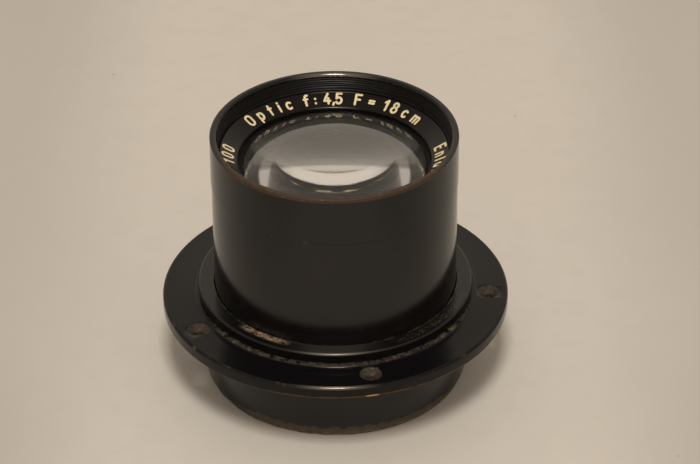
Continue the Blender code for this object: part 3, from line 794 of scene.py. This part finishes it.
def helix(pitch, depth, low, high, outer=True):
    """Displacement that cuts a fine thread into a cylinder between two heights."""
    cut = -depth if outer else depth
    run_out = 0.4  # the thread fades in and out over this height

    def displaced(r, z, angle):
        if not low < z < high:
            return r
        phase = (z / pitch - angle / math.tau) % 1.0
        tooth = abs(2.0 * phase - 1.0)
        fade = min(1.0, (z - low) / run_out, (high - z) / run_out)
        return r + cut * tooth * fade
    return displaced


def attach(piece, body):
    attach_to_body(piece, body)


def stand_for(piece, body, slot_name, *nodes):
    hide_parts(*nodes)
    attach(piece, body)


def make_mount_tube(finish):
    """Rear tube: threaded under the shoulder, with a battered foot."""
    thread_low = 13.2
    shoulder_low = SHOULDER_TOP - 2.3
    bore = BARREL_R + 0.02  # closes on the barrel with no visible gap
    battered_top = FOOT_TOP + 0.3
    dents_round = 9.0
    dent_depth = 0.16
    cut = helix(pitch=0.7, depth=0.28, low=thread_low, high=FLANGE_BOSS_TOP)

    def shape(r, z, angle):
        if r <= TUBE_R - FOOT_BEVEL - 0.1:
            return r
        if z < battered_top:
            point = Vector((math.cos(angle) * dents_round, math.sin(angle) * dents_round, z * 1.5))
            return r - max(0.0, noise.noise(point)) * dent_depth * (battered_top - z)
        return cut(r, z, angle) if abs(r - TUBE_R) < 0.01 else r

    outline = filleted([(bore, SHOULDER_TOP, 0.09), (SHOULDER_R, SHOULDER_TOP, 0.45),
                        (SHOULDER_R, shoulder_low, 0.22), (TUBE_R, shoulder_low)])
    outline += rows_between(TUBE_R, shoulder_low - 0.3, TUBE_R, thread_low, 84)
    outline += rows_between(TUBE_R, thread_low, TUBE_R, battered_top, 4)
    outline += rows_between(TUBE_R, FOOT_TOP, TUBE_R - FOOT_BEVEL, 0.0, 8)
    outline += [(bore + 0.3, 0.0), (bore, 0.3)]
    bm = bmesh.new()
    lathe_faces(bm, outline, STEPS, displace=shape)
    stand_for(mesh_object("mount_tube_shell", bm, [finish]), "barrel", "black_lacquer", "mount_tube")


def make_flange(finish, countersink):
    """Flange with a low boss and countersunk screw holes."""
    bore = TUBE_R + 0.3
    flange = turned("mounting_flange_shell", [
        (bore, FLANGE_BOSS_TOP, 0.1), (FLANGE_BOSS_R, FLANGE_BOSS_TOP, 0.2),
        (FLANGE_BOSS_R + 0.25, FLANGE_TOP), (FLANGE_R, FLANGE_TOP, 0.62),
        (FLANGE_R, FLANGE_LOW, 0.3), (bore, FLANGE_LOW, 0.1),
    ], finish)
    sink_r, hole_r, sink_depth = 2.55, 1.1, 1.45
    past = 0.4  # how far the cutter runs past each face
    outline = [(0.0, FLANGE_TOP + past), (sink_r + past, FLANGE_TOP + past),
               (hole_r, FLANGE_TOP - sink_depth), (hole_r, FLANGE_LOW - past), (0.0, FLANGE_LOW - past)]
    bm = bmesh.new()
    for turn in HOLE_ANGLES:
        lathe_faces(bm, outline, HOLE_STEPS, axis=polar(HOLE_CIRCLE, turn))
    cut_away(flange, mesh_object("hole_cutter", bm, [countersink]))
    stand_for(flange, "barrel", "black_lacquer", "mounting_flange")


def make_barrel(finish):
    """Fixed barrel, with a narrower neck that the sleeve turns on."""
    neck_r, neck_bore, neck_low = 26.3, 25.5, 41.6
    bore = 26.85
    barrel = turned("barrel_shell", [
        (neck_bore, NECK_TOP, 0.1), (neck_r, NECK_TOP, 0.1), (neck_r, SEAM),
        (BARREL_R, SEAM, 0.06), (BARREL_R, BARREL_LOW, 0.2), (bore, BARREL_LOW, 0.2),
        (bore, neck_low), (neck_bore, neck_low),
    ], finish)
    stand_for(barrel, "barrel", "black_lacquer", "barrel_tube")


def make_sleeve(finish, hood):
    """Turning sleeve. The hood part of its bore is ridged against stray light."""
    low = SEAM + 0.08
    bore, hood_r = 26.6, 26.87
    ring_bore = NAME_R + 0.08
    ridge_low, ridge_high = NAME_TOP + 0.2, SLEEVE_TOP - 0.75
    ridges = helix(pitch=0.56, depth=0.24, low=ridge_low, high=ridge_high, outer=False)

    def shape(r, z, angle):
        return ridges(r, z, angle) if r < hood_r + 0.02 else r

    def finish_of(a, b):
        """1 on the hood's wall, from the name ring to just under the rim, and 0 elsewhere."""
        low_end, high_end = min(a[1], b[1]), max(a[1], b[1])
        return int(low_end > NAME_TOP - 1.0 and high_end < SLEEVE_TOP - 0.6 and a[0] < SLEEVE_R - 1.0)

    outline = filleted([(hood_r, SLEEVE_TOP, 0.68), (SLEEVE_R, SLEEVE_TOP, 0.3),
                        (SLEEVE_R, low, 0.06), (bore, low, 0.06)])
    outline += [(bore, NECK_TOP + 0.2), (ring_bore, NECK_TOP + 0.5), (ring_bore, ridge_low - 0.1)]
    outline += rows_between(bore + 0.1, ridge_low, hood_r, ridge_high, 40)
    bm = bmesh.new()
    lathe_faces(bm, outline, STEPS, material_of=finish_of, displace=shape)
    made = mesh_object("aperture_sleeve_shell", bm, [finish, hood])
    stand_for(made, "aperture", "black_lacquer", "aperture_sleeve")
    return made


def make_drive_screw(sleeve, steel):
    """Slotted grub screw at the back, in its hole in the sleeve."""
    height = 53.25
    head, tip = SLEEVE_R - 0.3, 25.55
    screw_r, chamfer = 0.8, 0.12
    hole_r, hole_floor, past = 1.1, 25.9, SLEEVE_R + 1.0
    slot_block = (0.28 * MM, 1.0 * MM, 2.4 * MM)  # width, twice the slot's depth, length
    slot_lean = 25.0
    aim = Matrix.Translation((0.0, 0.0, height * MM)) @ Matrix.Rotation(-math.pi / 2.0, 4, 'X')

    bm = bmesh.new()
    hole = [(0.0, past), (hole_r, past), (hole_r, hole_floor), (0.0, hole_floor)]
    lathe_faces(bm, hole, SCREW_STEPS)
    bmesh.ops.transform(bm, matrix=aim, verts=bm.verts)
    cut_away(sleeve, mesh_object("screw_hole_cutter", bm, [sleeve.data.materials[0]]))

    bm = bmesh.new()
    shank = [(0.0, head), (screw_r - chamfer, head), (screw_r, head - chamfer),
             (screw_r, tip), (0.0, tip)]
    lathe_faces(bm, shank, SCREW_STEPS)
    bmesh.ops.transform(bm, matrix=aim, verts=bm.verts)
    screw = mesh_object("drive_screw_head", bm, [steel])

    bm = bmesh.new()
    bmesh.ops.create_cube(bm, size=1.0)
    bmesh.ops.scale(bm, vec=slot_block, verts=bm.verts)
    bmesh.ops.rotate(bm, matrix=Matrix.Rotation(math.radians(slot_lean), 3, 'Y'), verts=bm.verts)
    bmesh.ops.translate(bm, vec=(0.0, head * MM, height * MM), verts=bm.verts)
    cut_away(screw, mesh_object("slot_cutter", bm, [steel]))
    stand_for(screw, "aperture", "steel", "drive_screw")


def make_name_ring(finish, paint):
    """Conical ring in front of the glass, with its painted lettering."""
    cone = turned("name_ring_cone", [
        (NAME_INNER, NAME_INNER_TOP, 0.12), (NAME_R, NAME_TOP, 0.1),
        (NAME_R, NAME_LOW), (NAME_INNER, NAME_LOW),
    ], finish)
    stand_for(cone, "barrel", "black_lacquer", "name_ring")
    bm = bmesh.new()
    for text, turn, tracking in NAME_RING_WORDS:
        add_text(bm, text, LETTER_HEIGHT, tracking, on_name_ring(turn))
    attach(mesh_object("name_ring_lettering", bm, [paint]), "barrel")


def make_scale(paint):
    """Aperture numbers on the sleeve, and the index line on the barrel that they turn past."""
    number_height, tracking, number_base = 1.35, 0.22, SEAM + 1.75
    tick_height, tick_length, tick_base = 1.6, 0.55, SEAM + 0.4
    index_height, index_base = 2.2, SEAM - 2.6
    bm = bmesh.new()
    for text, stop in SCALE_STOPS:
        iris_r = OPEN_IRIS_R * SCALE_STOPS[0][1] / stop
        blade_turn = 2.0 * math.degrees(math.asin((OPEN_IRIS_R - iris_r) / (2.0 * PIVOT_CIRCLE)))
        turn = INDEX_TURN - blade_turn / BLADE_RATIO
        add_text(bm, text, number_height, tracking, on_cylinder(SLEEVE_R, turn, number_base))
        add_stroke(bm, line(0.0, 0.0, 0.0, tick_length), 0.0, tick_height,
                   on_cylinder(SLEEVE_R, turn, tick_base))
    attach(mesh_object("aperture_numbers", bm, [paint]), "aperture")
    bm = bmesh.new()
    add_stroke(bm, line(0.0, 0.0, 0.0, 1.0), 0.0, index_height,
               on_cylinder(BARREL_R, INDEX_TURN, index_base))
    attach(mesh_object("aperture_index", bm, [paint]), "barrel")


def slotted_ring(name, corners, finish, slot_reach):
    """A retaining ring with two slots in its front face for a spanner."""
    made = turned(name, corners, finish, SMALL_STEPS)
    inner, top = corners[0][:2]
    bm = bmesh.new()
    for side in (-1.0, 1.0):
        middle = side * (inner + slot_reach / 2.0 - 0.3)
        block = bmesh.ops.create_cube(bm, size=1.0)["verts"]
        bmesh.ops.scale(bm, vec=(slot_reach * MM, 1.0 * MM, 1.0 * MM), verts=block)
        bmesh.ops.translate(bm, vec=(middle * MM, 0.0, top * MM), verts=block)
    cut_away(made, mesh_object(name + "_slots", bm, [finish]))
    return made


def make_front_cell(matt):
    """Cell of the front and middle glasses, with the ring that holds the middle one."""
    mouth_r, wall_r, opening_r = 22.9, 24.1, 16.4
    collar_low = NECK_TOP + 0.3
    seat_r, seat_top = 20.7, GLASS_BACK - 0.3
    bore, bore_low, bore_top = MIDDLE_R + 0.3, CELL_LOW + 0.5, 50.5
    cell = turned("front_cell_body", [
        (mouth_r, CELL_TOP, 0.1), (CELL_R, CELL_TOP, 0.1), (CELL_R, collar_low), (wall_r, collar_low),
        (wall_r, CELL_LOW), (opening_r, CELL_LOW), (opening_r, bore_low), (bore, bore_low),
        (bore, bore_top), (seat_r, bore_top), (seat_r, seat_top, 0.08), (mouth_r, seat_top),
    ], matt, SMALL_STEPS)
    stand_for(cell, "barrel", "matt_black", "front_cell")
    ring_r, ring_bore, ring_top, ring_low = 20.4, 17.2, 52.2, 51.2
    held = slotted_ring("middle_retaining_ring_turned", [
        (ring_bore, ring_top, 0.1), (ring_r, ring_top, 0.1),
        (ring_r, ring_low), (ring_bore, ring_low),
    ], matt, 1.6)
    stand_for(held, "barrel", "matt_black", "middle_retaining_ring")


def make_rear_cell(matt):
    """Cell of the rear pair, with the ring that holds it."""
    seat_r, mouth_r = 18.0, 21.2
    bore, bore_low, bore_top = REAR_R + 0.3, 21.0, 34.2
    cell = turned("rear_cell_body", [
        (seat_r, REAR_CELL_TOP, 0.1), (REAR_CELL_R, REAR_CELL_TOP, 0.2),
        (REAR_CELL_R, REAR_CELL_LOW, 0.3), (mouth_r, REAR_CELL_LOW, 0.15),
        (bore, bore_low), (bore, bore_top), (seat_r, bore_top),
    ], matt, SMALL_STEPS)
    stand_for(cell, "barrel", "matt_black", "rear_cell")
    ring_bore, ring_top, ring_low = 18.2, 22.8, 21.6
    held = turned("rear_retaining_ring_turned", [
        (ring_bore, ring_top, 0.1), (REAR_R, ring_top),
        (REAR_R, ring_low, 0.1), (ring_bore, ring_low, 0.1),
    ], matt, SMALL_STEPS)
    stand_for(held, "barrel", "matt_black", "rear_retaining_ring")


def make_glass(glass, edge, hazed):
    """The glasses. Each curved face is given by its vertex height and its radius of curvature."""
    flat_back = [(r, GLASS_BACK) for r in (0.0, BLACKED_R, GLASS_R)]
    front = glass_piece("front_glass", sag(GLASS_VERTEX, 50.0, GLASS_R, 28), flat_back,
                        glass, edge, hazed)
    stand_for(front, "barrel", "optical_glass", "front_element")
    hollow = sag(45.2, 45.0, 15.5, 20)
    middle_back = hollow + [(MIDDLE_R, hollow[-1][1])]
    middle = glass_piece("middle_glass", sag(48.4, -65.0, MIDDLE_R, 24), middle_back, glass, edge)
    stand_for(middle, "barrel", "optical_glass", "middle_element")
    rear = glass_piece("rear_cemented_pair", sag(33.2, -300.0, REAR_R, 16),
                       sag(REAR_VERTEX, -55.0, REAR_R, 24), glass, edge)
    stand_for(rear, "barrel", "optical_glass", "rear_doublet_front", "rear_doublet_rear")


def blade_outline():
    """A crescent with an ear at one end, pivot at angle 0."""
    outer, ear = 23.7, 26.0
    start, ear_end, end = -3.0, 16.5, 95.0

    def sweep(radius, first, last, count):
        return [polar(radius, first + (last - first) * i / count) for i in range(count + 1)]

    half = (outer - OPEN_IRIS_R) / 2.0
    tip = [polar(OPEN_IRIS_R + half, end) + polar(half, end + 15.0 * i) for i in range(1, 12)]
    return (sweep(ear, start, ear_end, 8) + sweep(outer, ear_end + 3.0, end, 40) + tip
            + sweep(OPEN_IRIS_R, end, start, 56))


def make_blade(number, steel):
    """One thin spring-steel blade with the ends of its two pins."""
    node = f"iris_blade_{number:02d}"
    thickness, spacing, lowest = 0.12, 0.22, 37.5
    low = lowest + spacing * (number - 1)
    pins = (  # centre, radius, bottom and top: the pivot pin and the drive pin
        (polar(PIVOT_CIRCLE, 0.0), 0.6, 36.6, low),
        (polar(24.8, 14.0), 0.45, low + thickness, 40.95),
    )
    bm = bmesh.new()
    corners = [bm.verts.new((p.x * MM, p.y * MM, low * MM)) for p in blade_outline()]
    sheet = bm.faces.new(corners)
    extruded = bmesh.ops.extrude_face_region(bm, geom=[sheet])["geom"]
    lifted = [item for item in extruded if isinstance(item, bmesh.types.BMVert)]
    bmesh.ops.translate(bm, verts=lifted, vec=(0.0, 0.0, thickness * MM))
    for centre, radius, bottom, top in pins:
        pin = bmesh.ops.create_cone(bm, cap_ends=True, segments=16, radius1=radius * MM,
                                    radius2=radius * MM, depth=(top - bottom) * MM)["verts"]
        middle = (bottom + top) / 2.0
        bmesh.ops.translate(bm, verts=pin, vec=(centre.x * MM, centre.y * MM, middle * MM))
    turn = math.tau * (number - 1) / BLADE_COUNT
    bmesh.ops.rotate(bm, matrix=Matrix.Rotation(turn, 3, 'Z'), verts=bm.verts)
    blade = mesh_object(node + "_leaf", bm, [steel])
    stand_for(blade, f"blade_{number:02d}", "blued_steel", node)


# -------------------- stage

def floor_finish():
    """Pale table top: clouded, with painted shade that darkens it to both sides, and a few scattered
    grains.
    """
    made = Finish("pale_table", TABLE, 0.75)
    made.layer(made.step(made.noise(0.012, 3.0), 0.35, 0.70), TABLE_CLOUDED)
    made.layer(made.all(made.step(made.noise(0.12, 5.0, 0.65), 0.42, 0.66), 0.5), TABLE_MOTTLE)
    # painted shade: the table darkens away from the lens to both sides, most towards the front
    side = made.step(made.math('ABSOLUTE', made.math('ADD', made.x, -4)), 45, 92)
    nearer = made.math('ADD', 0.72, made.all(made.step(made.y, 20, -40), 0.28))
    made.layer(made.all(side, nearer), TABLE_SIDE_SHADE)
    scattered = made.step(made.noise(0.02), 0.50, 0.56)
    made.layer(made.all(made.step(made.cells(0.055), 0.034, 0.018), scattered, 0.6), TABLE_GRAINS)
    made.bump(made.noise(0.9, 3.0), 0.03, 0.4)
    return made.done()


def make_stage():
    bm = bmesh.new()
    bmesh.ops.create_grid(bm, x_segments=1, y_segments=1, size=3.0)
    mesh_object("table_top", bm, [floor_finish()])


def make_camera():
    """A long lens looking down at the object. Its place and target are in metres."""
    place = Vector((0.003488, -0.59782, 0.42612))
    target = Vector((0.003488, 0.0, 0.036483))
    roll = math.radians(-0.26)
    data = bpy.data.cameras.new("camera")
    data.lens = 157.63
    data.sensor_width = 36.0
    camera = bpy.data.objects.new("camera", data)
    bpy.context.scene.collection.objects.link(camera)
    aim = (target - place).to_track_quat('-Z', 'Y')
    camera.matrix_world = (Matrix.Translation(place) @ aim.to_matrix().to_4x4()
                           @ Matrix.Rotation(roll, 4, 'Z'))
    bpy.context.scene.camera = camera


def make_room():
    """An even room, dimmer overhead and to both sides."""
    world = bpy.data.worlds.new("room")
    world.use_nodes = True
    room = Nodes(world.node_tree)
    x, _, z = room.split(room.node('ShaderNodeTexCoord').outputs["Generated"])
    overhead = room.eased(z, (0.45, 0.92), (1.15, 0.60))
    aside = room.eased(room.math('ABSOLUTE', x), (0.45, 0.90), (1.0, 0.62))
    backdrop = room.tree.nodes["Background"]
    room.put(backdrop.inputs["Strength"], room.math('MULTIPLY', overhead, aside))
    backdrop.inputs["Color"].default_value = (0.60, 0.52, 0.43, 1.0)
    bpy.context.scene.world = world


def make_lamp():
    """One soft rectangular light in front of the lens and above the camera."""
    place = Vector((0.0, -0.67, 1.29))
    target = Vector((0.0, 0.0, 0.03))
    data = bpy.data.lights.new("lamp", 'AREA')
    data.shape = 'RECTANGLE'
    data.size = 0.26
    data.size_y = 0.34
    data.energy = 11.3
    data.color = (1.0, 0.95, 0.86)
    lamp = bpy.data.objects.new("lamp", data)
    bpy.context.scene.collection.objects.link(lamp)
    lamp.location = place
    lamp.rotation_euler = (target - place).to_track_quat('-Z', 'Y').to_euler()


def refinish(node, finish):
    """Give a CAD node that stays in view its detailed finish."""
    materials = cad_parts[node].data.materials
    materials.clear()
    materials.append(finish)


# -------------------- build

matt = matt_black_finish("matt_black")
paint = paint_finish()
brass = brass_finish()
blued_steel = steel_finish("blued_steel", BLUED_STEEL, 0.30)

make_mount_tube(mount_finish())
make_flange(flange_finish(), countersink_finish())
make_barrel(barrel_finish())
sleeve = make_sleeve(sleeve_finish(), hood_finish())
make_drive_screw(sleeve, steel_finish("screw_steel", SCREW_STEEL, 0.36))
make_name_ring(name_ring_finish(), paint)
make_scale(paint)
make_front_cell(matt)
make_rear_cell(matt)
make_glass(glass_finish("optical_glass", 0.0), matt_black_finish("glass_edge_black"),
           glass_finish("hazed_glass", 0.05))
for number in range(1, BLADE_COUNT + 1):
    make_blade(number, blued_steel)
for node, finish in (("cam_ring", brass), ("drive_arm", brass),
                     ("iris_base_ring", matt), ("iris_retaining_ring", matt)):
    refinish(node, finish)

make_stage()
make_camera()
make_room()
make_lamp()

scene = bpy.context.scene
scene.view_settings.view_transform = 'Standard'
scene.cycles.max_bounces = 24  # light crosses many glass faces on its way in and out
scene.cycles.transmission_bounces = 24
scene.cycles.glossy_bounces = 8

bpy.context.view_layer.update()
